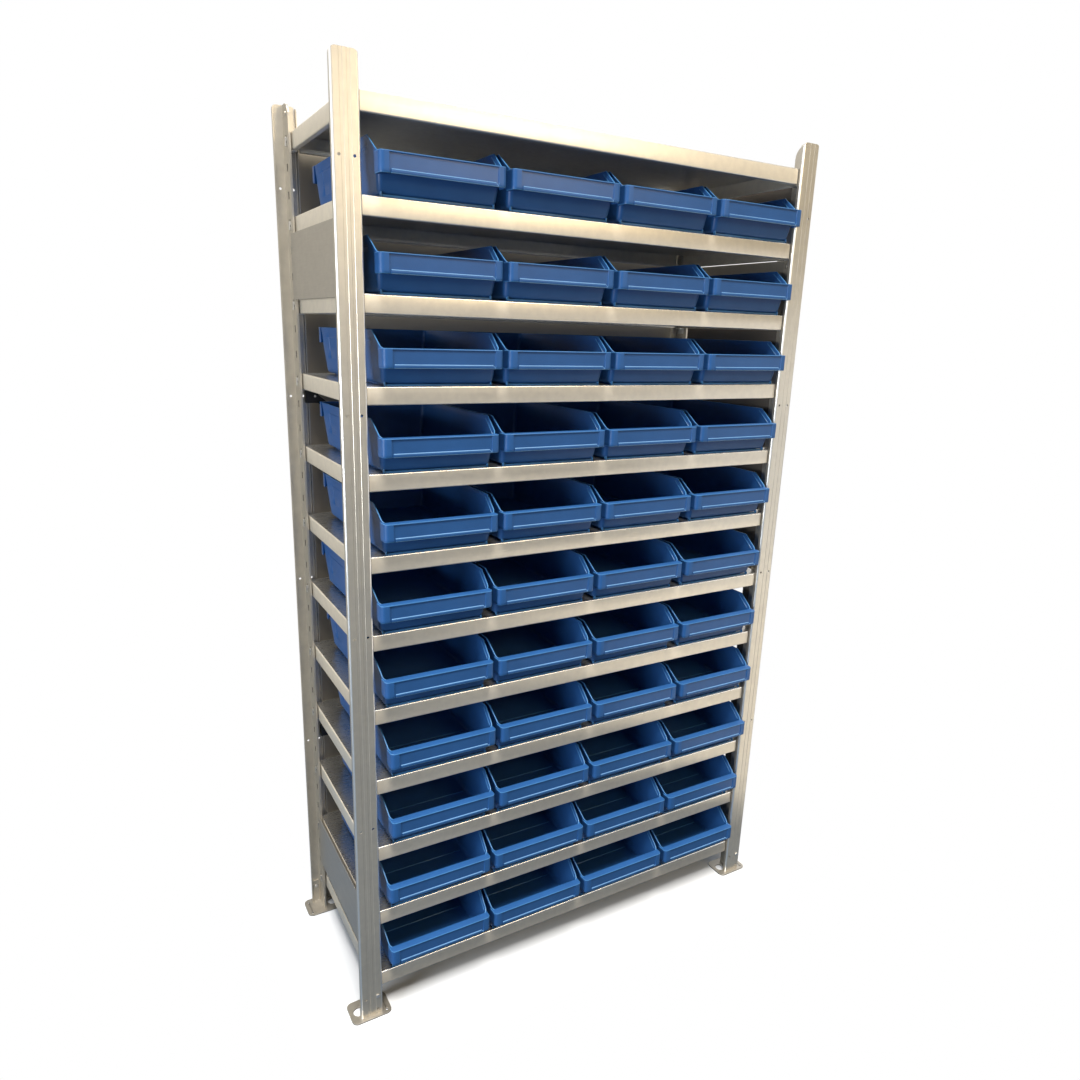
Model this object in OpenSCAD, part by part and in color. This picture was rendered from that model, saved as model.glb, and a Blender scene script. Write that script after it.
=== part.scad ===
// Boltless steel shelving unit with rows of blue shelf bins and a cross brace at the rear.
// X runs along the front, Y from front to rear and Z up.
// The origin is on the floor, in the middle of the space that the unit takes up.

/* [Frame] */
// Width over the outer edges of the posts
frame_w = 1050; // [1040:1:1300]
// Depth over the faces of the front and rear posts
frame_d = 400; // [390:1:600]
// Height of the bottom shelf's top above the floor
base_h = 95; // [90:1:200]
// Pitch of the shelves
shelf_pitch = 150; // [144:1:220]
// Height of the posts above the top shelf
post_rise = 50; // [40:1:150]

/* [Posts] */
// Width of a post's face
post_face_w = 46; // [44:1:56]
// Depth of a post from its face to the nose of its web
post_web_d = 42; // [42:1:60]
// Thickness of the folded web
post_web_t = 4; // [3:0.1:5]
// Sheet thickness of a post's face
post_sheet = 2; // [1.5:0.1:2.5]
// Depth of the returns along the edges of the face
post_return = 9; // [7:0.5:10]
// Outer bend radius of the returns
post_bend_r = 4; // [3:0.1:5]
// Diameter of the holes in the face
post_hole_d = 5; // [4.8:0.1:6]
// Pitch of the rows of holes up the face
post_hole_pitch = 400; // [250:10:400]

/* [Feet] */
// Width of a foot plate
foot_w = 84; // [76:1:120]
// Length of a foot plate from front to rear
foot_l = 60; // [54:1:90]
// Thickness of a foot plate and its tab
foot_t = 3; // [2:0.1:4]
// How far a foot plate reaches past the post's face
foot_lap = 8; // [4:1:14]
// Diameter of the large floor hole
foot_hole_d = 23; // [10:1:26]

/* [Shelves] */
// Height of a shelf's edges
shelf_edge_h = 32; // [28:1:38]
// Sheet thickness of a shelf
shelf_sheet = 1; // [0.8:0.1:2]
// How far the shelf's front edge sits behind the post's face
shelf_inset = 8; // [6:0.5:9]
// Width of the lip under the front and rear edges
shelf_lip = 14; // [8:1:20]

/* [Shelf clips] */
// Room between a post's web and the shelf's side edge
clip_space = 3; // [2.6:0.1:4]
// Sheet thickness of a clip
clip_t = 2; // [1.5:0.1:2.2]
// Reach of the clip's ledge under the shelf
clip_ledge = 13; // [8:1:18]

/* [Side plates] */
// Height of a side plate
plate_h = 124; // [80:1:130]
// Sheet thickness of a side plate
plate_t = 1.5; // [1:0.1:2]

/* [Cross brace] */
// Width of a brace strap
strap_w = 14; // [10:1:18]
// Thickness of a brace strap
strap_t = 1.2; // [0.8:0.1:1.3]

/* [Bins] */
// Width of a bin over the tops of its side walls
bin_w = 230; // [215:1:231]
// Length of a bin from front to rear
bin_l = 388; // [330:1:400]
// Height of a bin
bin_h = 93; // [86:1:98]
// Wall thickness of a bin
bin_wall = 2.2; // [1.6:0.1:2.6]
// Least reach of a bin's front before the posts
bin_reach = 20; // [10:1:40]
// Room between the outer bins and the posts
bin_side_room = 10.5; // [10:0.5:14]
// Height of a bin's front lip
bin_lip_z = 64; // [56:1:70]
// Height of the band across a bin's front
bin_band_h = 33; // [26:1:38]

/* [Hidden] */
shelf_count = 12;
bin_rows = 11;
arc_steps = 6;
hole_fn = 32;
// Overlap that lets a cut run past a surface, and joined shapes run into each other
cut = 1;

post_h = base_h + (shelf_count - 1) * shelf_pitch + post_rise;
post_x = frame_w / 2 - post_face_w / 2;
web_in = post_x - post_web_t / 2;
web_out = post_x + post_web_t / 2;
clear_w = frame_w - 2 * post_face_w;
// A bin that is long for the frame stands out further, so that the brace behind it stays free
bin_rear_room = 20;
bin_out = max(bin_reach, bin_l + bin_rear_room - frame_d);
// Middle of the unit from front to rear, between the bins' fronts and the rear foot plates
mid_y = (frame_d + foot_lap - max(bin_out, foot_lap)) / 2;

post_corner_r = 10;
web_corner_r = 25;
post_groove_u = 6;
post_groove_w = 6;
post_groove_d = 0.5;
post_hole_span = 25;
post_hole_z = 47;
post_low_hole_z = 15;
post_hole_top_room = 20;
post_hole_rows = 1 + floor((post_h - post_hole_z - post_hole_top_room) / post_hole_pitch);
post_boss_d = 9;
post_boss_h = 0.8;
post_boss_drop = 18;

// Slots in the web: three in each shelf pitch, the uppermost one for the shelf's clip
slots_per_pitch = 3;
slot_pitch = shelf_pitch / slots_per_pitch;
slot_y = 22;
slot_w = 6;
slot_h = 14;
slot_drop = 12;
slot_lowest = 70;
slot_zs = [
    for (i = [1 : shelf_count], k = [0 : slots_per_pitch - 1])
        let (z = shelf_z(i) - slot_drop - k * slot_pitch)
            if (z > slot_lowest) z
];

foot_corner_r = 12;
foot_hole_x = 22;
foot_hole_y = 22;
foot_screw_hole_d = 5;
foot_screw_x = 32;
foot_screw_inset = 10;
foot_tab_w = 14;
foot_tab_h = 62;
foot_tab_gap = 0.2;

rivet_d = 4.6;
rivet_head_d = 8;
rivet_head_h = 1.4;

// Half lengths of a shelf between the posts' faces and between their webs
shelf_end_gap = 2;
shelf_front_half = clear_w / 2 - shelf_end_gap;
shelf_side_half = web_in - clip_space;
shelf_notch_room = 3;
shelf_notch_y = post_return + shelf_notch_room;
shelf_side_lip = 10;
shelf_lip_turn = 7;

clip_y0 = 12;
clip_y1 = 31;
clip_top = 4;
clip_bottom = 46;
clip_neck_w = 5;
clip_neck_h = 6;
clip_hook_h = 16;
clip_hook_gap = 0.6;
clip_x = web_in - (clip_space - clip_t) / 2;

plate_gap = 0.5;
plate_edge_y = 30;
plate_x = web_out + plate_gap;
plate_hook_y = 36;
plate_hook_w = 4;
plate_hook_h = 8;
plate_hook_room = 1;
plate_hook_inset = 12;
plate_hook_reach = 1;
upper_plate_shelf = 3;
upper_plate_drop = 6;
lower_plate_rise = 38;
upper_plate_z = shelf_z(upper_plate_shelf) - upper_plate_drop;
lower_plate_z = shelf_z(shelf_count) + lower_plate_rise;
plate_hook_zs = [
    for (z = [upper_plate_z, lower_plate_z], h = [plate_hook_inset, plate_h - plate_hook_inset]) z + h
];

// Cross brace: the straps run behind the shelves, from below one shelf to below a lower one
brace_upper_shelf = 4;
brace_lower_shelf = 9;
brace_top_drop = 16;
brace_bottom_drop = 43;
brace_top_z = shelf_z(brace_upper_shelf) - shelf_edge_h - brace_top_drop;
brace_bottom_z = shelf_z(brace_lower_shelf) - shelf_edge_h - brace_bottom_drop;
strap_room = 1;
strap_first_y = frame_d - shelf_inset + strap_room;
strap_gap = 0.6;
strap_end_gap = 3;
strap_end_x = clear_w / 2 - strap_end_gap;
strap_screw_inset = 12;
strap_screw_x = clear_w / 2 - strap_screw_inset;
bracket_half_h = 14;
bracket_reach = 10;
bracket_w = 19;
bracket_inner_x = clear_w / 2 - bracket_w;
bracket_gap = 0.4;
bracket_plate_t = 2.4;
brace_screw_d = 4.5;
brace_screw_hole_d = 5;
brace_screw_head_d = 9;
brace_screw_head_h = 2.4;

// As many bins stand side by side as the clear width takes with the least gap between them
bin_least_gap = 4;
bin_room_w = clear_w - 2 * bin_side_room;
bin_cols = floor((bin_room_w + bin_least_gap) / (bin_w + bin_least_gap));
bin_gap = (bin_room_w - bin_cols * bin_w) / max(1, bin_cols - 1);
bin_pitch = bin_w + bin_gap;
// The rows stand a little to the left or right, as they were pushed in
bin_row_shift = [9, 6, 9, 4.5, 5.5, -4.5, 1, 9, 9, 2, 2.5];

// One bin: y is measured from the face of the front band
bin_plinth = 3;
bin_floor = 2.5;
bin_floor_z = bin_plinth + bin_floor;
bin_bevel = 5;
bin_draft = 9;
bin_half_top = bin_w / 2;
bin_half_base = bin_half_top - bin_draft;
bin_lip_d = 17;
bin_front_foot = 28;
bin_slope_run = 40;
bin_rim_d = 11;
bin_rear_lean = 7;
bin_rear_bevel_l = 13;
bin_rear_bevel_h = 12;
bin_rear_wall = bin_l - bin_rim_d;
bin_rear_low = bin_rear_wall - bin_rear_lean;
bin_rear_foot = bin_rear_low - bin_rear_bevel_l;
bin_rim_h = 30;
bin_rim_z = bin_h - bin_rim_h;
bin_band_z = bin_lip_z - bin_band_h;
bin_band_step = 2.8;
bin_band_half = bin_half_top - bin_band_step;
bin_band_wrap = 26;
bin_corner_r = 8;
bin_band_end = 14;
label_margin = 16.4;
label_depth = 1.5;
label_top = 2;
label_rail_h = 7;
label_slot_t = 0.7;
label_slot_h = 3;
label_notch_w = 3;
bin_groove_inset = 66;
bin_groove_y = bin_l - bin_groove_inset;
bin_groove_w = 3;
bin_groove_d = 0.8;
bin_groove_low = 35;
bin_groove_drop = 16;
bin_groove_z = [bin_groove_low, bin_h - bin_groove_drop];
bin_rib_proud = 0.8;
bin_rib_w = 2.5;
bin_rib_offset = 9;
bin_ridge_y = 125;
bin_ridge_w = 2;
bin_ridge_h = 1;

metal = "#d8d5cf";
plastic = "#1f5fc4";
black = "#202124";

function shelf_z(i) = base_h + (shelf_count - i) * shelf_pitch;
function bin_x(row, col) = (col - (bin_cols + 1) / 2) * bin_pitch + bin_row_shift[row - 1];
function bin_name(row, col) = str("bin_r", row < 10 ? "0" : "", row, "_c", col);
function arc(centre, r, from, to) = [
    for (i = [0 : arc_steps])
        let (a = from + (to - from) * i / arc_steps)
            centre + r * [cos(a), sin(a)]
];

// Extrudes an outline drawn in x and z from y0 to y1
module along_y(y0, y1) {
    translate([0, y1, 0]) rotate([90, 0, 0]) linear_extrude(y1 - y0) children();
}

// Extrudes an outline drawn in y and z from x0 to x1
module along_x(x0, x1) {
    translate([x0, 0, 0]) rotate([90, 0, 90]) linear_extrude(x1 - x0) children();
}

// A block from one corner to the other
module block(low, high) {
    translate(low) cube(high - low);
}

// A round bar along y
module bar_y(x, z, d, y0, y1) {
    translate([x, y1, z]) rotate([90, 0, 0]) cylinder(h = y1 - y0, d = d, $fn = hole_fn);
}

// Puts a shape drawn around a post's face at one of the four posts
module at_post(side, rear) {
    translate([side * post_x, rear * frame_d - mid_y, 0]) rotate([0, 0, 180 * rear]) children();
}

module at_all_posts() {
    for (side = [-1, 1], rear = [0, 1]) at_post(side, rear) children();
}

// Puts a shape drawn for the left front corner at all four corners
module at_all_corners() {
    for (side = [0, 1], rear = [0, 1])
        mirror([side, 0, 0])
            translate([0, rear * frame_d - mid_y, 0]) mirror([0, rear, 0]) children();
}

// Plan of a post's face with its two returns
module post_section() {
    u = post_face_w / 2;
    inner_r = post_bend_r - post_sheet;
    right = [u - post_bend_r, post_bend_r];
    left = [-right[0], right[1]];
    groove = [post_groove_u - post_groove_w / 2, post_groove_u + post_groove_w / 2];
    polygon(concat(
        [[u, post_return]],
        arc(right, post_bend_r, 0, -90),
        [[groove[1], 0], [groove[1] - post_groove_d, post_groove_d]],
        [[groove[0] + post_groove_d, post_groove_d], [groove[0], 0]],
        [[-groove[0], 0], [-groove[0] - post_groove_d, post_groove_d]],
        [[-groove[1] + post_groove_d, post_groove_d], [-groove[1], 0]],
        arc(left, post_bend_r, -90, -180),
        [[-u, post_return], [-u + post_sheet, post_return]],
        arc(left, inner_r, -180, -90),
        arc(right, inner_r, -90, 0),
        [[u - post_sheet, post_return]]
    ));
}

// Front view of a post's face, with rounded top corners
module post_face_outline() {
    u = post_face_w / 2;
    polygon(concat(
        [[-u, foot_t], [u, foot_t]],
        arc([u - post_corner_r, post_h - post_corner_r], post_corner_r, 0, 90),
        arc([-u + post_corner_r, post_h - post_corner_r], post_corner_r, 90, 180)
    ));
}

// Side view of a post's web, with its large top rounding
module post_web_outline() {
    root = post_sheet - post_sheet / 4;
    polygon(concat(
        [[root, foot_t], [post_web_d, foot_t]],
        arc([post_web_d - web_corner_r, post_h - web_corner_r], web_corner_r, 0, 90),
        [[root, post_h]]
    ));
}

module post_slots() {
    for (z = slot_zs)
        translate([0, slot_y, z]) cube([post_web_t + 2 * cut, slot_w, slot_h], center = true);
    hole = [post_web_t + 2 * cut, plate_hook_w + plate_hook_room, plate_hook_h + plate_hook_room];
    for (z = plate_hook_zs)
        translate([0, plate_hook_y, z]) cube(hole, center = true);
}

module post_holes() {
    for (row = [0 : post_hole_rows - 1], side = [-1, 1])
        bar_y(side * post_hole_span / 2, post_hole_z + row * post_hole_pitch, post_hole_d,
            -cut, post_sheet + cut);
    bar_y(post_hole_span / 2, post_low_hole_z, post_hole_d, -cut, post_sheet + cut);
}

module post() {
    boss = post_web_t / 2 + post_boss_h;
    color(metal) difference() {
        union() {
            intersection() {
                translate([0, 0, foot_t]) linear_extrude(post_h - foot_t) post_section();
                along_y(-cut, post_return + cut) post_face_outline();
            }
            along_x(-post_web_t / 2, post_web_t / 2) post_web_outline();
            translate([-boss, slot_y, post_h - post_boss_drop]) rotate([0, 90, 0])
                cylinder(h = 2 * boss, d = post_boss_d, $fn = hole_fn);
        }
        post_slots();
        post_holes();
    }
}

// Plan of a foot plate with round corners
module foot_outline() {
    x = foot_w / 2 - foot_corner_r;
    y0 = foot_corner_r - foot_lap;
    y1 = foot_l - foot_lap - foot_corner_r;
    polygon(concat(
        arc([x, y0], foot_corner_r, -90, 0),
        arc([x, y1], foot_corner_r, 0, 90),
        arc([-x, y1], foot_corner_r, 90, 180),
        arc([-x, y0], foot_corner_r, 180, 270)
    ));
}

module foot_plate() {
    tab_y = post_sheet + foot_tab_gap;
    tab_x = post_hole_span / 2 - foot_tab_w / 2;
    difference() {
        union() {
            linear_extrude(foot_t) foot_outline();
            block([tab_x, tab_y, 0], [tab_x + foot_tab_w, tab_y + foot_t, foot_tab_h]);
        }
        translate([-foot_hole_x, foot_hole_y, -cut])
            cylinder(h = foot_t + 2 * cut, d = foot_hole_d, $fn = hole_fn);
        for (y = [foot_screw_inset - foot_lap, foot_l - foot_lap - foot_screw_inset])
            translate([foot_screw_x, y, -cut])
                cylinder(h = foot_t + 2 * cut, d = foot_screw_hole_d, $fn = hole_fn);
        bar_y(post_hole_span / 2, post_hole_z, post_hole_d, tab_y - cut, tab_y + foot_t + cut);
    }
}

module foot_plates() {
    color(metal) at_all_posts() foot_plate();
}

module foot_rivets() {
    back = post_sheet + foot_tab_gap + foot_t;
    color(metal) at_all_posts() {
        bar_y(post_hole_span / 2, post_hole_z, rivet_d, -cut / 2, back + cut / 2);
        bar_y(post_hole_span / 2, post_hole_z, rivet_head_d, -rivet_head_h, 0);
        bar_y(post_hole_span / 2, post_hole_z, rivet_head_d, back, back + rivet_head_h);
    }
}

// Plan of a shelf's top, notched around the four posts
module shelf_outline() {
    f = shelf_front_half;
    s = shelf_side_half;
    y0 = shelf_inset;
    y1 = shelf_notch_y;
    y2 = frame_d - shelf_notch_y;
    y3 = frame_d - shelf_inset;
    polygon([
        [-f, y0], [f, y0], [f, y1], [s, y1], [s, y2], [f, y2],
        [f, y3], [-f, y3], [-f, y2], [-s, y2], [-s, y1], [-f, y1]
    ]);
}

// Folded front edge of a shelf: a flange, the lip under it and the lip's turned-up end
module shelf_front_edge() {
    f = shelf_front_half;
    y0 = shelf_inset;
    y1 = shelf_inset + shelf_lip;
    low = -shelf_edge_h;
    block([-f, y0, low], [f, y0 + shelf_sheet, 0]);
    block([-f, y0, low], [f, y1, low + shelf_sheet]);
    block([-f, y1 - shelf_sheet, low], [f, y1, low + shelf_lip_turn]);
}

module shelf_side_edge() {
    s = shelf_side_half;
    y0 = shelf_notch_y;
    y1 = frame_d - shelf_notch_y;
    low = -shelf_edge_h;
    block([-s, y0, low], [-s + shelf_sheet, y1, 0]);
    block([-s, y0, low], [-s + shelf_side_lip, y1, low + shelf_sheet]);
}

module shelf(i) {
    color(metal) translate([0, -mid_y, shelf_z(i)]) {
        translate([0, 0, -shelf_sheet]) linear_extrude(shelf_sheet) shelf_outline();
        shelf_front_edge();
        translate([0, frame_d, 0]) mirror([0, 1, 0]) shelf_front_edge();
        shelf_side_edge();
        mirror([1, 0, 0]) shelf_side_edge();
    }
}

// Clip at the left front corner of a shelf, with its hook through the post's web
module shelf_clip(i) {
    x0 = -clip_x;
    x1 = x0 + clip_t;
    hook_x = -web_out - clip_hook_gap;
    neck_y0 = slot_y - clip_neck_w / 2;
    neck_y1 = slot_y + clip_neck_w / 2;
    neck_top = -slot_drop + clip_neck_h / 2;
    translate([0, 0, shelf_z(i)]) {
        block([x0, clip_y0, -clip_bottom], [x1, clip_y1, -clip_top]);
        block([x0, clip_y0, -shelf_edge_h - clip_t], [x0 + clip_ledge, clip_y1, -shelf_edge_h]);
        block([hook_x - clip_t, neck_y0, neck_top - clip_neck_h], [x1, neck_y1, neck_top]);
        block([hook_x - clip_t, neck_y0, neck_top - clip_hook_h], [hook_x, neck_y1, neck_top]);
    }
}

module shelf_clips() {
    color(metal) at_all_corners()
        for (i = [1 : shelf_count]) shelf_clip(i);
}

// Side plate on the outside of the left posts, with a hook into each web at its four corners
module side_plate(z) {
    y1 = frame_d - plate_edge_y;
    tip_x = -web_in + plate_hook_reach;
    block([-plate_x - plate_t, plate_edge_y, z], [-plate_x, y1, z + plate_h]);
    for (y = [plate_hook_y, frame_d - plate_hook_y], h = [plate_hook_inset, plate_h - plate_hook_inset])
        translate([0, y, z + h])
            block([-plate_x - plate_t, -plate_hook_w / 2, -plate_hook_h / 2],
                [tip_x, plate_hook_w / 2, plate_hook_h / 2]);
}

module side_plates(mirrored) {
    color(metal) mirror([mirrored, 0, 0]) translate([0, -mid_y, 0]) {
        side_plate(upper_plate_z);
        side_plate(lower_plate_z);
    }
}

// Front face of a strap: the rising strap passes behind the falling one
function strap_y(rising) = strap_first_y + rising * (strap_t + strap_gap);

module brace_strap(rising) {
    dz = brace_top_z - brace_bottom_z;
    slope = atan2(dz, 2 * strap_screw_x);
    overhang = strap_end_x - strap_screw_x;
    half = norm([strap_screw_x, dz / 2]) + overhang;
    y = strap_y(rising);
    color(black) translate([0, -mid_y, (brace_top_z + brace_bottom_z) / 2])
        rotate([0, rising ? -slope : slope, 0])
            difference() {
                block([-half, y, -strap_w / 2], [half, y + strap_t, strap_w / 2]);
                for (side = [-1, 1])
                    bar_y(side * (half - overhang), 0, brace_screw_hole_d, y - cut, y + strap_t + cut);
            }
}

// Bracket that grips the return of the left rear post and carries a strap's end
module brace_bracket(rising) {
    grip_y = frame_d - post_return - bracket_gap;
    plate_y = grip_y - bracket_plate_t;
    return_x = -clear_w / 2;
    pocket_x = return_x - post_sheet - bracket_gap;
    end_y = strap_y(rising);
    low = -bracket_half_h;
    high = bracket_half_h;
    difference() {
        union() {
            block([pocket_x - bracket_reach / 2, plate_y, low], [-bracket_inner_x, grip_y, high]);
            block([pocket_x - bracket_reach / 2, plate_y, low], [pocket_x, frame_d - post_return / 2, high]);
            block([return_x + bracket_gap, plate_y, low], [-bracket_inner_x, end_y, high]);
        }
        bar_y(-strap_screw_x, 0, brace_screw_hole_d, plate_y - cut, end_y + cut);
    }
}

module brace_screw(rising) {
    front = frame_d - post_return - bracket_gap - bracket_plate_t;
    back = strap_y(rising) + strap_t;
    bar_y(-strap_screw_x, 0, brace_screw_d, front, back + cut);
    bar_y(-strap_screw_x, 0, brace_screw_head_d, back, back + brace_screw_head_h);
}

// Puts a shape drawn for the left rear post at the two ends of a strap
module at_strap_ends(rising) {
    for (side = [0, 1])
        translate([0, -mid_y, side == rising ? brace_top_z : brace_bottom_z])
            mirror([side, 0, 0]) children();
}

module brace_brackets() {
    color(black) for (rising = [0, 1])
        at_strap_ends(rising) brace_bracket(rising);
}

module brace_screws() {
    color(metal) for (rising = [0, 1])
        at_strap_ends(rising) brace_screw(rising);
}

// Outline of a bin's body across its width, drawn in by an inset
module bin_cross(inset, floor_z) {
    base = bin_half_base - inset;
    top = bin_half_top - inset;
    rise = bin_h + (inset > 0 ? cut : 0);
    polygon([
        [-base + bin_bevel, floor_z], [base - bin_bevel, floor_z], [base, floor_z + bin_bevel], [top, bin_h],
        [top, rise], [-top, rise], [-top, bin_h], [-base, floor_z + bin_bevel]
    ]);
}

// Side view of a bin's body, with the slope down to the front lip
module bin_side() {
    polygon([
        [bin_front_foot + bin_bevel, bin_plinth], [bin_rear_foot, bin_plinth],
        [bin_rear_low, bin_plinth + bin_rear_bevel_h], [bin_rear_wall, bin_rim_z], [bin_rear_wall, bin_h],
        [bin_lip_d - bin_wall + bin_slope_run, bin_h], [bin_lip_d - bin_wall, bin_lip_z],
        [bin_front_foot, bin_plinth + bin_bevel]
    ]);
}

// Side view of the space inside a bin
module bin_side_inner() {
    top = bin_h + cut;
    polygon([
        [bin_front_foot + bin_bevel + bin_wall, bin_floor_z], [bin_rear_foot - bin_wall, bin_floor_z],
        [bin_rear_low - bin_wall, bin_floor_z + bin_rear_bevel_h], [bin_rear_wall - bin_wall, bin_rim_z],
        [bin_rear_wall - bin_wall, top], [bin_lip_d, top], [bin_lip_d, bin_lip_z],
        [bin_front_foot + bin_wall, bin_floor_z + bin_bevel]
    ]);
}

module bin_body() {
    intersection() {
        along_x(-bin_half_top, bin_half_top) bin_side();
        along_y(0, bin_l) bin_cross(0, bin_plinth);
    }
    foot_half = bin_half_base - 2 * bin_bevel;
    block([-foot_half, bin_front_foot + 2 * bin_bevel, 0],
        [foot_half, bin_rear_foot - bin_bevel, bin_plinth + cut]);
}

module bin_space() {
    intersection() {
        along_x(-bin_half_top, bin_half_top) bin_side_inner();
        along_y(0, bin_l) bin_cross(bin_wall, bin_floor_z);
    }
}

// Band across the front with round corners, open underneath
module bin_band() {
    x = bin_band_half;
    r = bin_corner_r;
    room = x - bin_band_end;
    difference() {
        translate([0, 0, bin_band_z]) linear_extrude(bin_band_h)
            polygon(concat(
                [[x, bin_band_wrap], [-x, bin_band_wrap]],
                arc([-x + r, r], r, 180, 270),
                arc([x - r, r], r, 270, 360)
            ));
        block([-room, bin_wall + label_depth, bin_band_z - cut], [room, bin_lip_d, bin_lip_z - bin_wall]);
    }
}

// Recess for a label, with the slot behind its rail and the notch at the rail's left end
module bin_label() {
    x1 = bin_band_half - label_margin;
    x0 = -x1;
    rail_z = bin_band_z + label_rail_h;
    block([x0, -cut, rail_z], [x1, label_depth, bin_lip_z - label_top]);
    block([x0, label_depth - label_slot_t, rail_z - label_slot_h], [x1, label_depth, rail_z + cut]);
    block([x0, -cut, bin_band_z - cut], [x0 + label_notch_w, label_depth, rail_z + cut]);
}

// Hollow rim along the top of the rear wall
module bin_rear_rim() {
    difference() {
        block([-bin_half_top, bin_rear_wall - cut, bin_rim_z], [bin_half_top, bin_l, bin_h]);
        block([-bin_half_top + bin_wall, bin_rear_wall, bin_rim_z - cut],
            [bin_half_top - bin_wall, bin_l - bin_wall, bin_h - bin_wall]);
    }
}

// Groove on the outside of each side wall: along the top to the rear, then down
module bin_grooves() {
    y1 = bin_groove_y + bin_groove_w;
    z1 = bin_groove_z[1];
    difference() {
        union() {
            block([-bin_half_top, bin_groove_y, bin_groove_z[0]], [bin_half_top, y1, z1]);
            block([-bin_half_top, bin_lip_d + bin_slope_run, z1 - bin_groove_w], [bin_half_top, y1, z1]);
        }
        along_y(0, bin_l) bin_cross(bin_groove_d, bin_plinth);
    }
}

// Slanted ribs inside the side walls, along the slope to the lip
module bin_ribs() {
    y0 = bin_lip_d + bin_rib_offset;
    z0 = bin_lip_z - bin_rib_w;
    y1 = bin_lip_d + bin_slope_run + bin_rib_offset / 2;
    z1 = bin_h - 2 * bin_rib_w;
    intersection() {
        along_x(-bin_half_top, bin_half_top)
            polygon([[y0, z0], [y0 + bin_rib_w, z0], [y1 + bin_rib_w, z1], [y1, z1]]);
        along_y(0, bin_l) difference() {
            bin_cross(bin_wall / 2, bin_plinth);
            bin_cross(bin_wall + bin_rib_proud, bin_floor_z);
        }
    }
}

module bin() {
    difference() {
        union() {
            bin_body();
            bin_band();
            bin_rear_rim();
        }
        bin_space();
        bin_label();
        bin_grooves();
    }
    bin_ribs();
    ridge_half = bin_half_base - bin_wall - bin_bevel;
    block([-ridge_half, bin_ridge_y, bin_floor_z - cut],
        [ridge_half, bin_ridge_y + bin_ridge_w, bin_floor_z + bin_ridge_h]);
}

module bin_at(row, col) {
    color(plastic) translate([bin_x(row, col), -bin_out - mid_y, shelf_z(row + 1)]) bin();
}

at_post(-1, 0) post();  // post_front_left
at_post(1, 0) post();  // post_front_right
at_post(-1, 1) post();  // post_rear_left
at_post(1, 1) post();  // post_rear_right
foot_plates();
foot_rivets();
shelf(1);  // top_shelf
for (i = [2 : shelf_count - 1]) shelf(i);  // middle_shelves
shelf(shelf_count);  // bottom_shelf
shelf_clips();
side_plates(0);  // side_plates_left
side_plates(1);  // side_plates_right
brace_strap(0);  // brace_strap_falling
brace_strap(1);  // brace_strap_rising
brace_brackets();
brace_screws();
for (row = [1 : bin_rows], col = [1 : bin_cols])
    bin_at(row, col);
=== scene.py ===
"""Looks of a boltless steel shelving unit with rows of blue shelf bins.

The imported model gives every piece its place. The bins and the shelves are built here as moulded and
folded meshes that stand for their solids. Posts, feet, plates and brace keep their solids and get
softened edges and a finish of their own. Lengths are in millimetres until a mesh is made.
"""

import math

import bmesh
import bpy
from mathutils import Matrix, Vector


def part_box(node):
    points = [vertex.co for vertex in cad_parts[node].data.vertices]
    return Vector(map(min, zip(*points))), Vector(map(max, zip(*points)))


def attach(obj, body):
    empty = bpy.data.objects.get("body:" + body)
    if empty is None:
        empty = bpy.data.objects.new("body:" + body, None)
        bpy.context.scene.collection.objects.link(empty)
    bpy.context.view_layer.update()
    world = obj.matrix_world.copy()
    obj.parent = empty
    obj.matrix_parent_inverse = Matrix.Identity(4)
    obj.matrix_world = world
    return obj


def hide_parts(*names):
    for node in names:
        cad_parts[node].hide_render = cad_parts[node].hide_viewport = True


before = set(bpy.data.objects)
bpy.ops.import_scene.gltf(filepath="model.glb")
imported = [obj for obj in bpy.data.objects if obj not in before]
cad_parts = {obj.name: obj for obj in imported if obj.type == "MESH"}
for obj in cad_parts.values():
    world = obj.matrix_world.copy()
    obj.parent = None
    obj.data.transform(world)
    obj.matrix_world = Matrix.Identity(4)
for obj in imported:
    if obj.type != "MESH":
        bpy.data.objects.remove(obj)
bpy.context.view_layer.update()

MM = 0.001
SHARP_ANGLE = math.radians(38)

# Camera, found from the edges of the posts and shelves in the photograph
CAMERA_PLACE = (-0.9017, -1.5003, 1.3941)
CAMERA_YAW = 0.5295
CAMERA_PITCH = -0.2669
CAMERA_ROLL = 0.0326
CAMERA_LENS = 26.27
CAMERA_SENSOR = 36.0
CAMERA_SHIFT = (0.0015, 0.0062)
CAMERA_CLIP_END = 50.0

# Stage, in metres. Lamps: name, place, target, size, watts, colour
LAMPS = (
    ("key", (-1.6, -3.9, 10.6), (0.0, 0.0, 0.9), (3.6, 3.6), 1850.0, (1.0, 0.94, 0.84)),
    ("window", (1.0, -2.6, 2.35), (0.0, 0.0, 1.6), (1.2, 0.6), 18.0, (1.0, 0.78, 0.45)),
    ("fill", (-3.2, -1.0, 1.1), (-0.5, 0.0, 0.9), (1.2, 1.2), 60.0, (0.92, 0.97, 1.0)),
    ("side", (2.9, -2.4, 0.75), (0.5, -0.2, 0.75), (1.2, 1.6), 7.5, (1.0, 1.0, 1.0)),
    ("rear", (0.8, 2.8, 3.0), (0.0, 0.0, 0.9), (4.0, 3.2), 40.0, (0.95, 0.98, 1.0)),
)
AMBIENT_COLOUR = (0.90, 0.95, 1.0, 1.0)
AMBIENT_STRENGTH = 0.035
WHITE = (1.0, 1.0, 1.0, 1.0)
DISC_STEPS = 64
FLOOR_RADIUS = 7.0
FLOOR_Z = -0.0005
FLOOR_COLOUR = (0.82, 0.86, 0.94, 1.0)
FLOOR_ROUGHNESS = 0.8
FLOOR_SPECULAR = 0.2
FLOOR_FOOTPRINT = (0.52, 0.20, 0.0)
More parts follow.
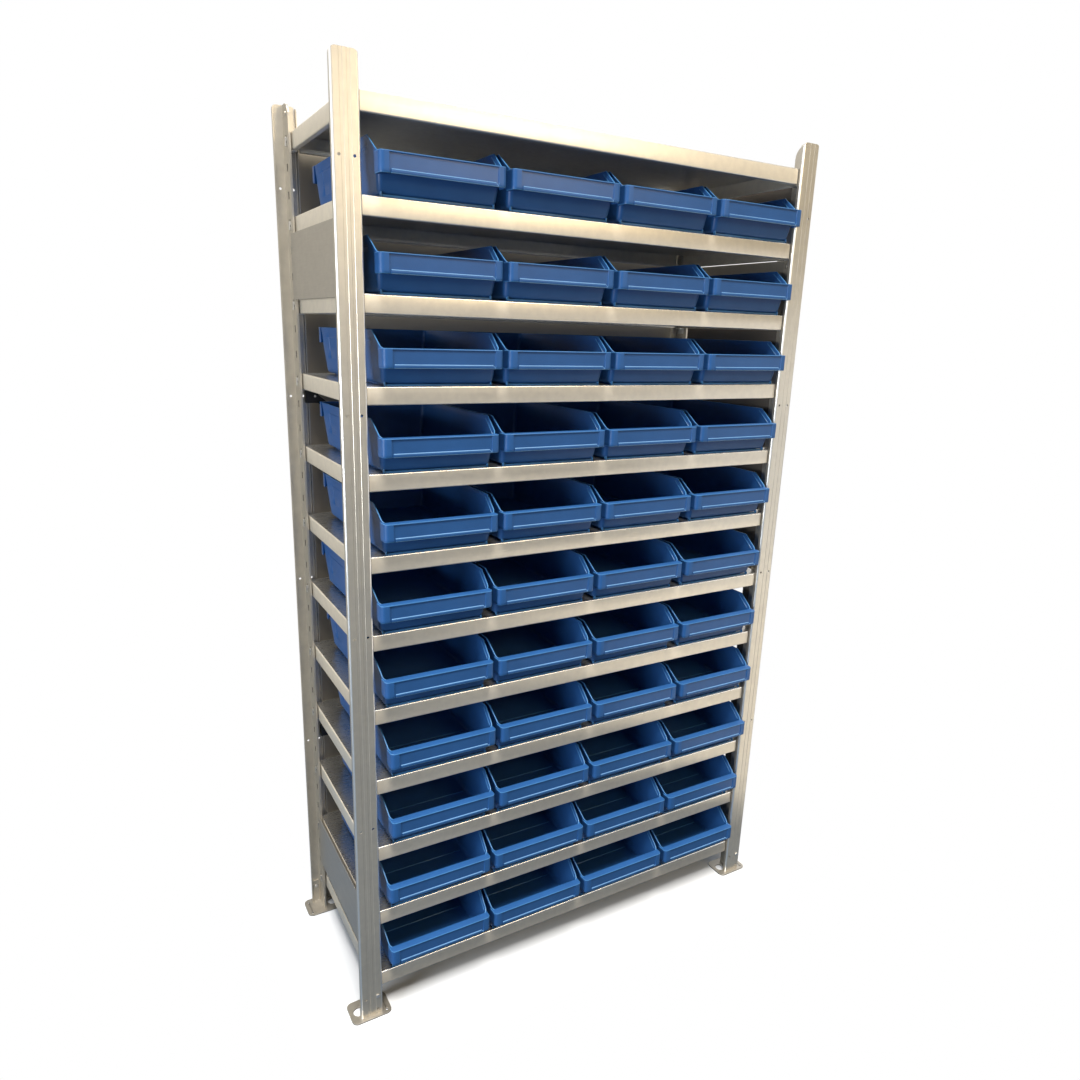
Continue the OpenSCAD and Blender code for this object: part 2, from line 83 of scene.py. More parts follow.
FLOOR_FADE = (0.0, 0.14)
DULL_ROUGHNESS = 0.9

# Cards that only reflections show. Flat ones: name, one corner, its two edges, colour
CARD_RADIUS = 25.0
CARD_CLOUDS = 0.8
CARD_TONES = (0.9, 1.1)
CARD_GREY = (0.090, 0.128, 0.190)
FLAT_CARDS = (
    ("card_rear", (-0.5, 1.1, 0.0), (2.2, 0, 0), (0, 0, 2.1), (0.030, 0.027, 0.023)),
    ("card_rear_left", (-1.7, 1.1, 0.0), (1.2, 0, 0), (0, 0, 2.1), (0.46, 0.43, 0.38)),
    ("card_right", (3.1, -1.2, 1.45), (0, -3.3, 0), (0, 0, 2.15), (0.46, 0.42, 0.34)),
    ("card_floor_right", (0.75, -3.0, 0.002), (2.6, 0, 0), (0, 2.6, 0), (0.95, 0.95, 0.95)),
)

# Boards that show through the unit's gaps. Side boards: reach from front to rear and from low to high,
# one beside the front post and the others in rows 1 and 3 to 6
BOARD_CLOUDS = 3.0
BOARD_TONES = (0.93, 1.07)
BACKDROP_X = (-0.48, 0.524)
BACKDROP_Y = 0.2135
BACKDROP_Z = (0.07, 1.73)
BACKDROP_BEIGE = (0.40, 0.36, 0.30)
SIDE_BOARD_X = 0.5055
# Dark brown of the side boards: painted shade, a dark sheet put in the gaps right of the bins
SIDE_BOARD_SHADE = (0.14, 0.12, 0.10)
SIDE_BOARDS = (
    ((-0.188, -0.125), (0.07, 1.73)),
    ((-0.125, 0.19), (1.65, 1.73)),
    ((-0.125, 0.19), (1.375, 1.445)),
    ((-0.125, 0.19), (1.215, 1.295)),
    ((-0.125, 0.05), (1.04, 1.145)),
    ((-0.125, 0.05), (0.87, 0.995)),
)

# Bin, with y from the face of its front band
BIN_H = 93.0
LIP_Z = 64.0
TUB_BASE_Z = 8.0
TUB_HALF_BASE = 106.0
TUB_HALF_TOP = 114.6
TUB_FRONT_FOOT = 28.0
TUB_FRONT_LIP = 14.8
TUB_SLOPE_RUN = 40.0
TUB_REAR_FOOT = 370.0
TUB_REAR_TOP = 377.0
TUB_REAR_FOOT_Z = 15.0
TUB_CORNER_R = 9.0
TUB_CORNER_LEAST = 1.0
TUB_BOTTOM_Z = 3.0
TUB_BOTTOM_R = 8.0
TUB_FLOOR_Z = 5.5
TUB_FLOOR_R = 5.0
TUB_WALL = 2.2
RIM_ROUND = 0.7
RIM_COVER = 0.6
CORNER_STEPS = 6
FOOT_STEPS = 4
RIM_STEPS = 3
WALL_SHARES = (-1.0, -0.5, 0.0, 0.5, 1.0)

SPLIT_Z = 35.0
GROOVE_Y = (322.3, 324.7)
GROOVE_FRONT_Y = 58.0
GROOVE_Z = (74.3, 76.7)
GROOVE_DEPTH = 0.8
GROOVE_SIDE = 0.8
SIDE_STATIONS = (
    40, 53.5, 54.8, 57, GROOVE_FRONT_Y, 120, 200, 280,
    GROOVE_Y[0] - GROOVE_SIDE, *GROOVE_Y, GROOVE_Y[1] + GROOVE_SIDE, 350,
)
OUTER_HEIGHTS = (
    20, 31, SPLIT_Z - GROOVE_SIDE, SPLIT_Z, 55, 66,
    GROOVE_Z[0] - GROOVE_SIDE, *GROOVE_Z, GROOVE_Z[1] + GROOVE_SIDE, 86,
)
INNER_HEIGHTS = (80, 60, SPLIT_Z, 24)

BAND_HALF = 112.2
BAND_R = 8.0
BAND_WRAP = 26.0
BAND_Z = 31.0
BAND_WALL = 3.7
LIP_INNER_Y = 17.2
LIP_T = 2.2
LABEL_X = (-95.8, 95.8)
LABEL_DEPTH = 1.5
LABEL_TOP = 62.0
RAIL_TOP = 38.0
RAIL_END_TOP = 33.5
RAIL_END_L = 5.0
RAIL_NOTCH_W = 3.0
LABEL_MARKS = (-60, -30, 0, 30, 60)
LABEL_STEP = 0.4
LABEL_SLOPE = (-0.9, -0.2, 0.2)
NOTCH_STEP = 0.3
RAIL_STEP = 0.02
EDGE_ROUND = 0.8
RAIL_ROUND = 1.2
ROUND_MIDDLE = 0.3
CHAMFER = 0.5
# Points on the band's ends: depth from the face, and the lip's inner edge behind the tub's corner
BAND_FLANKS = ((BAND_WRAP, 3.0), (18.0, 1.5))
# Places in the band's section, counted from under its lip
BAND_EDGE_HIGHLIGHT_SPANS = (3, 4, 13, 14)
BAND_RAIL_HIGHLIGHT_SPANS = (3, 4, 6, 7)
BAND_LABEL_SPANS = (9,)

REAR_RIM_HALF = 115.0
REAR_RIM_Z = 63.0
REAR_RIM_Y = 388.0
REAR_RIM_R = 3.0
REAR_RIM_START_Y = 374.0
REAR_RIM_ANGLES = (0, 30, 60, 90)
REAR_RIM_CHAMFER = 0.4
REAR_RIM_STEP = 0.3
REAR_RIM_HIGHLIGHT_SPANS = (5, 6)

PLINTH_HALF = 95.5
PLINTH_Y = (38.0, 352.0)
PLINTH_R = 8.0
PLINTH_STEPS = 4
PLINTH_LAP = 0.5
BEAD_HALF = 102.0
BEAD_Y = (28.5, 32.0)
BEAD_Z = (0.2, 3.6)
BEAD_ROUND = 0.8
TICK_HALF = 1.2
TICK_Y = (27.4, 34.0)
TICK_Z = (0.2, 7.5)
TICK_ROUND = 0.7

# Slanted ribs: ends as y and z, section across the rib and out of the wall, size along the length
RIB_START = (27.2, 61.5)
RIB_END = (62.0, 88.0)
RIB_SECTION = ((-1.2, -0.4), (-0.72, 0.63), (0.0, 0.9), (0.72, 0.63), (1.2, -0.4))
RIB_SWELL = ((0.0, 0.3), (0.03, 1.0), (0.97, 1.0), (1.0, 0.3))
RIDGE_HALF = 96.0
RIDGE_Y = (125.0, 127.2)
RIDGE_RISE = (-0.5, 1.2)
RIDGE_ROUND = 0.6

# Places of the materials in the lists of a bin and of a shelf
# Bin: the paler blues on rims, edges, beads, ribs and on the rail are painted highlights
PLASTIC, PLASTIC_HIGHLIGHT, PLASTIC_LABEL, PLASTIC_RAIL_HIGHLIGHT = range(4)
# Shelf: its top faces take a darker copy of the sheet, painted shade, and its top front bend a painted
# highlight
SHEET, SHEET_HIGHLIGHT, SHEET_TOP_SHADE = range(3)

# Finishes. Zinc: name, colour, how metallic, roughness, grain. Others: name, colour, roughness
GRAIN_X = (0.06, 1, 1)
GRAIN_Y = (1, 0.06, 1)
GRAIN_Z = (1, 1, 0.06)
GRAIN_EVEN = (1, 1, 1)
# Pale tone on the rounded bends of the posts and on the shelves' top front bends: painted highlight
PAINTED_BEND_HIGHLIGHT = (0.90, 0.88, 0.84)
POST_ZINC = ("post_zinc", (0.58, 0.54, 0.465), 0.75, 0.34, GRAIN_Z)
PLATE_ZINC = ("plate_zinc", (0.44, 0.415, 0.37), 0.65, 0.34, GRAIN_Y)
FASTENER_ZINC = ("fastener_zinc", (0.70, 0.69, 0.67), 0.9, 0.3, GRAIN_EVEN)
SHELF_ZINC = (
    ("shelf_zinc", (0.84, 0.775, 0.66), 0.45, 0.32, GRAIN_X),
    # Top front bend: a pale tone and full metal, a painted highlight
    ("shelf_zinc_bend_highlight", PAINTED_BEND_HIGHLIGHT, 1.0, 0.25, GRAIN_X),
    # Top face: a darker, more metallic copy of the same sheet, painted shade
    ("shelf_zinc_top_shade", (0.56, 0.54, 0.50), 0.9, 0.28, GRAIN_X),
)
BRACE_BLACK = ("brace_black", (0.012, 0.012, 0.013), 0.5)
BIN_BLUE = (
    ("bin_blue", (0.023, 0.105, 0.325), 0.4),
    # Paler blue on rims, rounded edges, beads and ribs: painted highlight
    ("bin_blue_edge_highlight", (0.06, 0.21, 0.47), 0.32),
    ("bin_blue_label", (0.023, 0.096, 0.295), 0.32),
    # Paler still on the label rail's rounded edges: painted highlight
    ("bin_blue_rail_highlight", (0.17, 0.36, 0.64), 0.3),
)
PLASTIC_SPECULAR = 0.35

# Noise: the reach of its values that is used, its layers, and how fine it is in each finish. It scales the
# colour between two tones, moves the roughness by a spread, and gives a bump's strength and height
NOISE_REACH = (0.3, 0.7)
FEW_LAYERS, SOME_LAYERS, MANY_LAYERS = 2.0, 3.0, 4.0
ZINC_CLOUDS, ZINC_SPANGLE, ZINC_GRAIN, ZINC_SKIN = 2.6, 70.0, 420.0, 900.0
ZINC_TONES = (0.93, 1.05)
ZINC_SPREAD = (-0.03, 0.04)
ZINC_BUMP = (0.03, 0.0003)
SPANGLE_STOPS = ((0.35, (0.94, 0.94, 0.95)), (0.65, (1.0, 1.0, 1.0)))
PAINT_CLOUDS, PAINT_GRAIN = 30.0, 900.0
PAINT_TONES = (0.8, 1.4)
PAINT_SPREAD = (-0.08, 0.08)
PAINT_BUMP = (0.1, 0.0002)
PLASTIC_CLOUDS, PLASTIC_GRAIN = 16.0, 700.0
PLASTIC_TONES = (0.9, 1.1)
PLASTIC_SPREAD = (-0.05, 0.07)
PLASTIC_BUMP = (0.08, 0.0003)
# Colour sockets of a Mix node
MIX_A, MIX_B, MIX_RESULT = 6, 7, 2

# Places on the posts, in metres: the webs' distance from the middle, and the faces' rounded edges, which
# carry a painted highlight.
# Slots in the webs, whose walls carry painted shade: middle of the frame's depth, distance from it, half
# reaches and upper end
POST_CENTRE = 0.502
POST_EDGE = (0.0170, 0.0185)
BEND_SLANT = (0.15, 0.35)
FRAME_MID_Y = 0.006
SLOT_OFF = 0.1715
SLOT_REACH = (0.0105, 0.0110)
WEB_REACH = (0.0014, 0.0018)
SLOT_TOP = (1.764, 1.766)
SLOT_PAINTED_SHADE = (0.030, 0.028, 0.025)

# Solids that keep their shape, and the radius of their edges
POSTS = ("post_front_left", "post_front_right", "post_rear_left", "post_rear_right")
PLATES = ("foot_plates", "side_plates_left", "side_plates_right")
FASTENERS = ("shelf_clips", "foot_rivets", "brace_screws")
BRACE = ("brace_strap_falling", "brace_strap_rising", "brace_brackets")
POST_ROUND = 0.3
PLATE_ROUND = 0.5
FASTENER_ROUND = 0.4
BRACE_ROUND = 0.3
WELD_DISTANCE = 0.00001
BEVEL_SEGMENTS = 2
BEVEL_ANGLE = math.radians(40)

# Shelves: how many each node holds, and their sheet
SHELF_COUNTS = (("top_shelf", 1), ("middle_shelves", 10), ("bottom_shelf", 1))
SHELF_SHEET = 1.0
SHELF_BEND_R = 2.4
SHELF_EDGE_H = 32.0
SHELF_LIP = 14.0
SHELF_LIP_TURN = 7.0
SHELF_SIDE_LIP = 10.0
SHELF_WING = 20.0
SHELF_NOTCH = 4.0
BEND_STEPS = 5
BEND_POINTS = BEND_STEPS + 1
FRONT_TOP_BEND = range(2 * BEND_POINTS + 1, 3 * BEND_POINTS)
TOP_FACE = 3 * BEND_POINTS
WING_TOP_FACE = 0


class Shell:
    """Gathers closed surfaces in millimetres and turns them into one mesh."""

    def __init__(self):
        self.points = []
        self.faces = []
        self.slots = []

    def loft(self, rows, slot_of=None, cap_slot=0):
        """Joins closed rows of points with quads, and closes the first and the last row."""
        count = len(rows[0])
        first = len(self.points)
        for row in rows:
            self.points.extend(row)
        for r in range(len(rows) - 1):
            a = first + r * count
            b = a + count
            for i in range(count):
                j = (i + 1) % count
                self.faces.append((a + i, a + j, b + j, b + i))
                self.slots.append(slot_of(r, i) if slot_of else cap_slot)
        last = first + (len(rows) - 1) * count
        self.faces.append(tuple(range(first, first + count)))
        self.faces.append(tuple(range(last, last + count)))
        self.slots.extend((cap_slot, cap_slot))

    def mesh(self, name, materials):
        mesh = bpy.data.meshes.new(name)
        mesh.from_pydata([Vector(p) * MM for p in self.points], [], self.faces)
        mesh.polygons.foreach_set("material_index", self.slots)
        for material in materials:
            mesh.materials.append(material)
        work = bmesh.new()
        work.from_mesh(mesh)
        bmesh.ops.recalc_face_normals(work, faces=work.faces)
        work.to_mesh(mesh)
        work.free()
        mesh.polygons.foreach_set("use_smooth", [True] * len(mesh.polygons))
        mesh.set_sharp_from_angle(angle=SHARP_ANGLE)
        mesh.update()
        return mesh


def add_object(name, data):
    piece = bpy.data.objects.new(name, data)
    bpy.context.scene.collection.objects.link(piece)
    return piece


def between(low, high, share):
    return low + (high - low) * min(1.0, max(0.0, share))


def bar_row(x, half_y, half_z, centre, corner):
    """Section of a bar across x, with cut corners."""
    y, z = centre
    a, b = half_y - corner, half_z - corner
    outline = [
        (a, -half_z), (half_y, -b), (half_y, b), (a, half_z),
        (-a, half_z), (-half_y, b), (-half_y, -b), (-a, -half_z),
    ]
    return [(x, y + dy, z + dz) for dy, dz in outline]


def add_bar(shell, low, high, corner, slot):
    """Bar from one corner to the other, with all its edges softened."""
    half_y, half_z = (high[1] - low[1]) / 2, (high[2] - low[2]) / 2
    centre = ((high[1] + low[1]) / 2, (high[2] + low[2]) / 2)
    rows = [
        bar_row(low[0], half_y - corner / 2, half_z - corner / 2, centre, corner / 2),
        bar_row(low[0] + corner, half_y, half_z, centre, corner),
        bar_row(high[0] - corner, half_y, half_z, centre, corner),
        bar_row(high[0], half_y - corner / 2, half_z - corner / 2, centre, corner / 2),
    ]
    shell.loft(rows, lambda r, i: slot, cap_slot=slot)


def tub_half(z):
    return TUB_HALF_BASE + (TUB_HALF_TOP - TUB_HALF_BASE) * (z - TUB_BASE_Z) / (BIN_H - TUB_BASE_Z)


def tub_front(z):
    return between(TUB_FRONT_FOOT, TUB_FRONT_LIP, (z - TUB_BASE_Z) / (LIP_Z - TUB_BASE_Z))


def tub_rear(z):
    return between(TUB_REAR_FOOT, TUB_REAR_TOP, (z - TUB_REAR_FOOT_Z) / (REAR_RIM_Z - TUB_REAR_FOOT_Z))


def tub_stations():
    """Columns around the tub, from the left end of the front wall, counter-clockwise from above."""
    steps = [90 * k / CORNER_STEPS for k in range(1, CORNER_STEPS)]
    stations = [("front", share, 0) for share in WALL_SHARES]
    stations += [("front_corner", 1, a - 90) for a in [*steps, 90]]
    stations += [("side", 1, y) for y in SIDE_STATIONS]
    stations += [("rear_corner", 1, a) for a in [0, *steps]]
    stations += [("rear", -share, 0) for share in WALL_SHARES]
    stations += [("rear_corner", -1, a) for a in [*reversed(steps), 0]]
    stations += [("side", -1, y) for y in reversed(SIDE_STATIONS)]
    stations += [("front_corner", -1, a - 90) for a in [90, *reversed(steps)]]
    return stations


def tub_point(station, z, inset):
    """Place of a column at one height, drawn in from the outside of the tub by an inset."""
    kind, side, value = station
    half, front, rear = tub_half(z) - inset, tub_front(z) + inset, tub_rear(z) - inset
    r = max(TUB_CORNER_R - inset, TUB_CORNER_LEAST)
    if kind == "front":
        return (side * (half - r), front, z)
    if kind == "rear":
        return (side * (half - r), rear, z)
    if kind == "side":
        return (side * half, value, z)
    angle = math.radians(value)
    x = side * (half - r + r * math.cos(angle))
    if kind == "front_corner":
        return (x, front + r + r * math.sin(angle), z)
    return (x, rear - r + r * math.sin(angle), z)


def tub_top(station):
    """Height of the rim at a column: the side walls slope down to the lip."""
    kind = station[0]
    if kind == "front":
        return LIP_Z - RIM_COVER
    if kind in ("rear", "rear_corner"):
        return BIN_H - RIM_COVER
    y = tub_point(station, LIP_Z, 0)[1]
    return between(LIP_Z - RIM_COVER, BIN_H, (y - TUB_FRONT_LIP) / TUB_SLOPE_RUN)


def groove_inset(station, z):
    """Depth of the panel line that runs along the outside of the side walls and down near the rear."""
    kind, _, y = station
    if kind != "side" or z < SPLIT_Z or z > GROOVE_Z[1] or y > GROOVE_Y[1] or y < GROOVE_FRONT_Y:
        return 0.0
    return GROOVE_DEPTH if y >= GROOVE_Y[0] or z >= GROOVE_Z[0] else 0.0


def quarter(steps):
    return [math.radians(90 * k / steps) for k in range(steps + 1)]


def add_tub(shell):
    stations = tub_stations()
    tops = [tub_top(s) for s in stations]

    def row_at(z, inset, grooved=False):
        """Row whose heights above the split follow the rim's slope."""
        row = []
        for station, top in zip(stations, tops):
            high = z if z <= SPLIT_Z else SPLIT_Z + (z - SPLIT_Z) * (top - SPLIT_Z) / (BIN_H - SPLIT_Z)
            extra = groove_inset(station, high) if grooved else 0.0
            row.append(tub_point(station, high, inset + extra))
        return row

    def rim_row(drop, inset):
        return [tub_point(s, top - drop, inset) for s, top in zip(stations, tops)]

    rows = [
        row_at(TUB_BOTTOM_Z + TUB_BOTTOM_R * (1 - math.cos(a)), TUB_BOTTOM_R * (1 - math.sin(a)))
        for a in quarter(FOOT_STEPS)
    ]
    rows += [row_at(z, 0, True) for z in OUTER_HEIGHTS]
    rim_start = len(rows)
    for a in quarter(RIM_STEPS):
        rows.append(rim_row(RIM_ROUND * (1 - math.sin(a)), RIM_ROUND * (1 - math.cos(a))))
    for a in reversed(quarter(RIM_STEPS)):
        rows.append(rim_row(RIM_ROUND * (1 - math.sin(a)), TUB_WALL - RIM_ROUND * (1 - math.cos(a))))
    rim_end = len(rows) - 1
    rows += [row_at(z, TUB_WALL) for z in INNER_HEIGHTS]
    for a in quarter(FOOT_STEPS):
        rise, inset = TUB_FLOOR_R * (1 - math.sin(a)), TUB_FLOOR_R * (1 - math.cos(a))
        rows.append(row_at(TUB_FLOOR_Z + rise, TUB_WALL + inset))
    # The rim takes the paler blue, a painted highlight
    shell.loft(rows, lambda r, i: PLASTIC_HIGHLIGHT if rim_start <= r < rim_end else PLASTIC)


def band_profile(kind):
    """Section of the front band as pairs of depth and height, from under the lip round to its top."""
    recess = LABEL_DEPTH if kind in ("label", "notch", "rail_end") else 0.0
    cut = LABEL_DEPTH if kind == "notch" else 0.0
    rail = RAIL_END_TOP if kind == "rail_end" else RAIL_TOP
    e, f, mid = EDGE_ROUND, RAIL_ROUND, ROUND_MIDDLE
    return [
        (BAND_WALL, LIP_Z - LIP_T),
        (BAND_WALL, BAND_Z + CHAMFER),
        (BAND_WALL - CHAMFER, BAND_Z),
        (cut + f, BAND_Z),
        (cut + mid * f, BAND_Z + mid * f),
        (cut, BAND_Z + f),
        (cut, rail - f),
        (max(cut, min(recess, mid * f)), rail - mid * f),
        (max(cut, min(recess, f)), rail),
        (recess, rail + RAIL_STEP),
        (recess, LABEL_TOP + LABEL_SLOPE[0]),
        (recess / 2, LABEL_TOP + LABEL_SLOPE[1]),
        (0, LABEL_TOP + LABEL_SLOPE[2]),
        (0, LIP_Z - e),
        (mid * e, LIP_Z - mid * e),
        (e, LIP_Z),
    ]


def band_stations():
    """Path of the band's outer face: place, outward direction, the lip's inner edge and the section."""
    rim_x, rim_y = tub_half(LIP_Z) - TUB_CORNER_R, TUB_FRONT_LIP + TUB_CORNER_R
    side_reach = TUB_CORNER_R - RIM_ROUND
    stations = []

    def corner(side, angle):
        a = math.radians(angle)
        out = Vector((side * math.cos(a), math.sin(a)))
        place = Vector((side * (BAND_HALF - BAND_R), BAND_R)) + BAND_R * out
        reach = between(side_reach, rim_y - LIP_INNER_Y, -angle / 90)
        inner = Vector((side * rim_x, rim_y)) + reach * out
        stations.append((place, out, inner, "block"))

    def flank(side, y, inner_y):
        inner = Vector((side * (rim_x + side_reach), inner_y))
        stations.append((Vector((side * BAND_HALF, y)), Vector((side, 0)), inner, "block"))

    def face(x, kind):
        inner_x = max(-rim_x, min(rim_x, x))
        stations.append((Vector((x, 0)), Vector((0, -1)), Vector((inner_x, LIP_INNER_Y)), kind))

    x0, x1 = LABEL_X
    for y, behind in BAND_FLANKS:
        flank(-1, y, rim_y + behind)
    for k in range(CORNER_STEPS + 1):
        corner(-1, -90 * k / CORNER_STEPS)
    face(x0 - LABEL_STEP, "block")
    face(x0 + LABEL_STEP, "notch")
    face(x0 + RAIL_NOTCH_W - NOTCH_STEP, "notch")
    face(x0 + RAIL_NOTCH_W + NOTCH_STEP, "label")
    for x in LABEL_MARKS:
        face(x, "label")
    face(x1 - RAIL_END_L, "label")
    face(x1 - LABEL_STEP, "rail_end")
    face(x1 + LABEL_STEP, "block")
    for k in range(CORNER_STEPS, -1, -1):
        corner(1, -90 * k / CORNER_STEPS)
    for y, behind in reversed(BAND_FLANKS):
        flank(1, y, rim_y + behind)
    return stations


def add_band(shell):
    """Band across the front with its label field, and the flat lip behind its top edge."""
    rows = []
    kinds = []
    for place, out, inner, kind in band_stations():
        row = []
        for depth, z in band_profile(kind):
            x, y = place - depth * out
            row.append((x, y, z))
        row.append((inner.x, inner.y - CHAMFER, LIP_Z))
        row.append((inner.x, inner.y, LIP_Z - CHAMFER))
        row.append((inner.x, inner.y - CHAMFER, LIP_Z - LIP_T))
        rows.append(row)
        kinds.append(kind)

    def slot_of(r, i):
        # Painted highlights on the rail's rounded edges and on the band's rounded edges
        if kinds[r] in ("label", "rail_end") and i in BAND_RAIL_HIGHLIGHT_SPANS:
            return PLASTIC_RAIL_HIGHLIGHT
        if i in BAND_EDGE_HIGHLIGHT_SPANS:
            return PLASTIC_HIGHLIGHT
        plain = kinds[r] == "block" or kinds[r + 1] == "block"
        return PLASTIC_LABEL if i in BAND_LABEL_SPANS and not plain else PLASTIC

    shell.loft(rows, slot_of)


def add_rear_rim(shell):
    """Hollow rim along the top of the rear wall."""
    half, r = REAR_RIM_HALF, REAR_RIM_R
    inner_y = TUB_REAR_TOP - TUB_WALL
    path = [(Vector((-half, REAR_RIM_START_Y)), Vector((-1, 0)))]
    for side, angles in ((-1, REAR_RIM_ANGLES), (1, REAR_RIM_ANGLES[::-1])):
        for angle in angles:
            a = math.radians(angle)
            out = Vector((side * math.cos(a), math.sin(a)))
            path.append((Vector((side * (half - r), REAR_RIM_Y - r)) + r * out, out))
    path.append((Vector((half, REAR_RIM_START_Y)), Vector((1, 0))))
    e, mid = EDGE_ROUND, ROUND_MIDDLE * EDGE_ROUND
    section = [
        (TUB_WALL, BIN_H - TUB_WALL), (TUB_WALL, REAR_RIM_Z + REAR_RIM_CHAMFER),
        (TUB_WALL - REAR_RIM_CHAMFER, REAR_RIM_Z), (e, REAR_RIM_Z),
        (0, REAR_RIM_Z + e), (0, BIN_H - e), (mid, BIN_H - mid), (e, BIN_H),
    ]
    rows = []
    for place, out in path:
        row = []
        for depth, z in section:
            x, y = place - depth * out
            row.append((x, y, z))
        inner_x = max(-half + TUB_WALL, min(half - TUB_WALL, place.x))
        back = min(place.y, inner_y)
        row.append((inner_x, back, BIN_H))
        row.append((inner_x, back - REAR_RIM_STEP, BIN_H - CHAMFER))
        row.append((inner_x, back, BIN_H - TUB_WALL))
        rows.append(row)
    # The rim's rounded top edge takes the paler blue, a painted highlight
    shell.loft(rows, lambda r, i: PLASTIC_HIGHLIGHT if i in REAR_RIM_HIGHLIGHT_SPANS else PLASTIC)


def add_plinth(shell):
    """Flat foot under the tub, and the bead along its front edge with an upright tick at each end."""
    r = PLINTH_R
    aside, near, far = PLINTH_HALF - r, PLINTH_Y[0] + r, PLINTH_Y[1] - r
    corners = ((aside, far, 0), (-aside, far, 90), (-aside, near, 180), (aside, near, 270))

    def ring(z, inset):
        row = []
        for cx, cy, start in corners:
            for k in range(PLINTH_STEPS + 1):
                a = math.radians(start + 90 * k / PLINTH_STEPS)
                row.append((cx + (r - inset) * math.cos(a), cy + (r - inset) * math.sin(a), z))
        return row

    shell.loft([ring(0.0, CHAMFER), ring(CHAMFER, 0.0), ring(TUB_BOTTOM_Z + PLINTH_LAP, 0.0)])
    (front, rear), (low, high) = BEAD_Y, BEAD_Z
    # The bead and its ticks take the paler blue, a painted highlight
    add_bar(shell, (-BEAD_HALF, front, low), (BEAD_HALF, rear, high), BEAD_ROUND, PLASTIC_HIGHLIGHT)
    (front, rear), (low, high) = TICK_Y, TICK_Z
    for side in (-1, 1):
        x = side * (BEAD_HALF - TICK_HALF)
        left, right = x - TICK_HALF, x + TICK_HALF
        add_bar(shell, (left, front, low), (right, rear, high), TICK_ROUND, PLASTIC_HIGHLIGHT)


def add_ribs(shell):
    """Slanted bead inside each side wall, and the low ridge across the floor."""
    start, end = Vector(RIB_START), Vector(RIB_END)
    along = (end - start).normalized()
    across = Vector((along.y, -along.x))
    for side in (-1, 1):
        rows = []
        for share, swell in RIB_SWELL:
            centre = start + (end - start) * share
            row = []
            for u, height in RIB_SECTION:
                y, z = centre + across * (u * swell)
                row.append((side * (tub_half(z) - TUB_WALL - height * swell), y, z))
            rows.append(row)
        # The ribs and the floor ridge take the paler blue, a painted highlight
        shell.loft(rows, lambda r, i: PLASTIC_HIGHLIGHT, cap_slot=PLASTIC_HIGHLIGHT)
    low, high = (TUB_FLOOR_Z + rise for rise in RIDGE_RISE)
    front, rear = RIDGE_Y
    add_bar(shell, (-RIDGE_HALF, front, low), (RIDGE_HALF, rear, high), RIDGE_ROUND, PLASTIC_HIGHLIGHT)


def bin_mesh(materials):
    shell = Shell()
    add_tub(shell)
    add_band(shell)
    add_rear_rim(shell)
    add_plinth(shell)
    add_ribs(shell)
    return shell.mesh("shelf_bin", materials)


def fillet(points, radius):
    """Polyline with each inner corner replaced by an arc."""
    path = [Vector(points[0])]
    for before, corner, after in zip(points, points[1:], points[2:]):
        corner = Vector(corner)
        a = (Vector(before) - corner).normalized()
        b = (Vector(after) - corner).normalized()
        centre = corner + (a + b) * radius
        for k in range(BEND_STEPS + 1):
            t = math.radians(90 * k / BEND_STEPS)
            path.append(centre - radius * (b * math.cos(t) + a * math.sin(t)))
    path.append(Vector(points[-1]))
    return path


def folded_sheet(points):
    """Closed section of a folded sheet: its outer path, and the same path set in by its thickness."""
    outer = fillet(points, SHELF_BEND_R)
    inner = []
    for i, point in enumerate(outer):
        before, after = outer[max(i - 1, 0)], outer[min(i + 1, len(outer) - 1)]
        along = (after - before).normalized()
        inner.append(point + SHELF_SHEET * Vector((along.y, -along.x)))
    return outer + inner[::-1]


def add_shelf(shell, low, high, top):
    """Shelf with folded front and rear edges between the posts, and side edges behind their faces."""
    front, rear, half = low.y, high.y, high.x
    body_half = half - SHELF_WING
    bottom = top - SHELF_EDGE_H
    turn = bottom + SHELF_LIP_TURN
    section = folded_sheet([
        (front + SHELF_LIP, turn), (front + SHELF_LIP, bottom), (front, bottom), (front, top),
        (rear, top), (rear, bottom), (rear - SHELF_LIP, bottom), (rear - SHELF_LIP, turn),
    ])

    def slot_of(r, i):
        # The top front bend takes a painted highlight
        if i in FRONT_TOP_BEND:
            return SHEET_HIGHLIGHT
        # The top faces take painted shade
        return SHEET_TOP_SHADE if i == TOP_FACE else SHEET

    shell.loft([[(x, y, z) for y, z in section] for x in (-body_half, body_half)], slot_of)
    wing = folded_sheet([
        (body_half, top), (half, top), (half, bottom), (half - SHELF_SIDE_LIP, bottom),
    ])
    ends = (front + SHELF_NOTCH, rear - SHELF_NOTCH)
    for side in (-1, 1):
        shell.loft(
            [[(side * x, y, z) for x, z in wing] for y in ends],
            lambda r, i: SHEET_TOP_SHADE if i == WING_TOP_FACE else SHEET,
        )


def build_shelves(materials):
    for node, count in SHELF_COUNTS:
        low, high = (Vector(corner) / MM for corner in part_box(node))
        pitch = (high.z - low.z - SHELF_EDGE_H) / max(count - 1, 1)
        shell = Shell()
        for k in range(count):
            add_shelf(shell, low, high, high.z - k * pitch)
        piece = add_object(node + "_folded", shell.mesh(node + "_folded", materials))
        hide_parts(node)
        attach(piece, "frame")


def build_bins(materials):
    mesh = bin_mesh(materials)
    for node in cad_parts:
        if not node.startswith("bin_"):
            continue
        low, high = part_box(node)
        piece = add_object(node + "_moulded", mesh)
        piece.location = ((low[0] + high[0]) / 2, low[1], low[2])
        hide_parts(node)
        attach(piece, node)


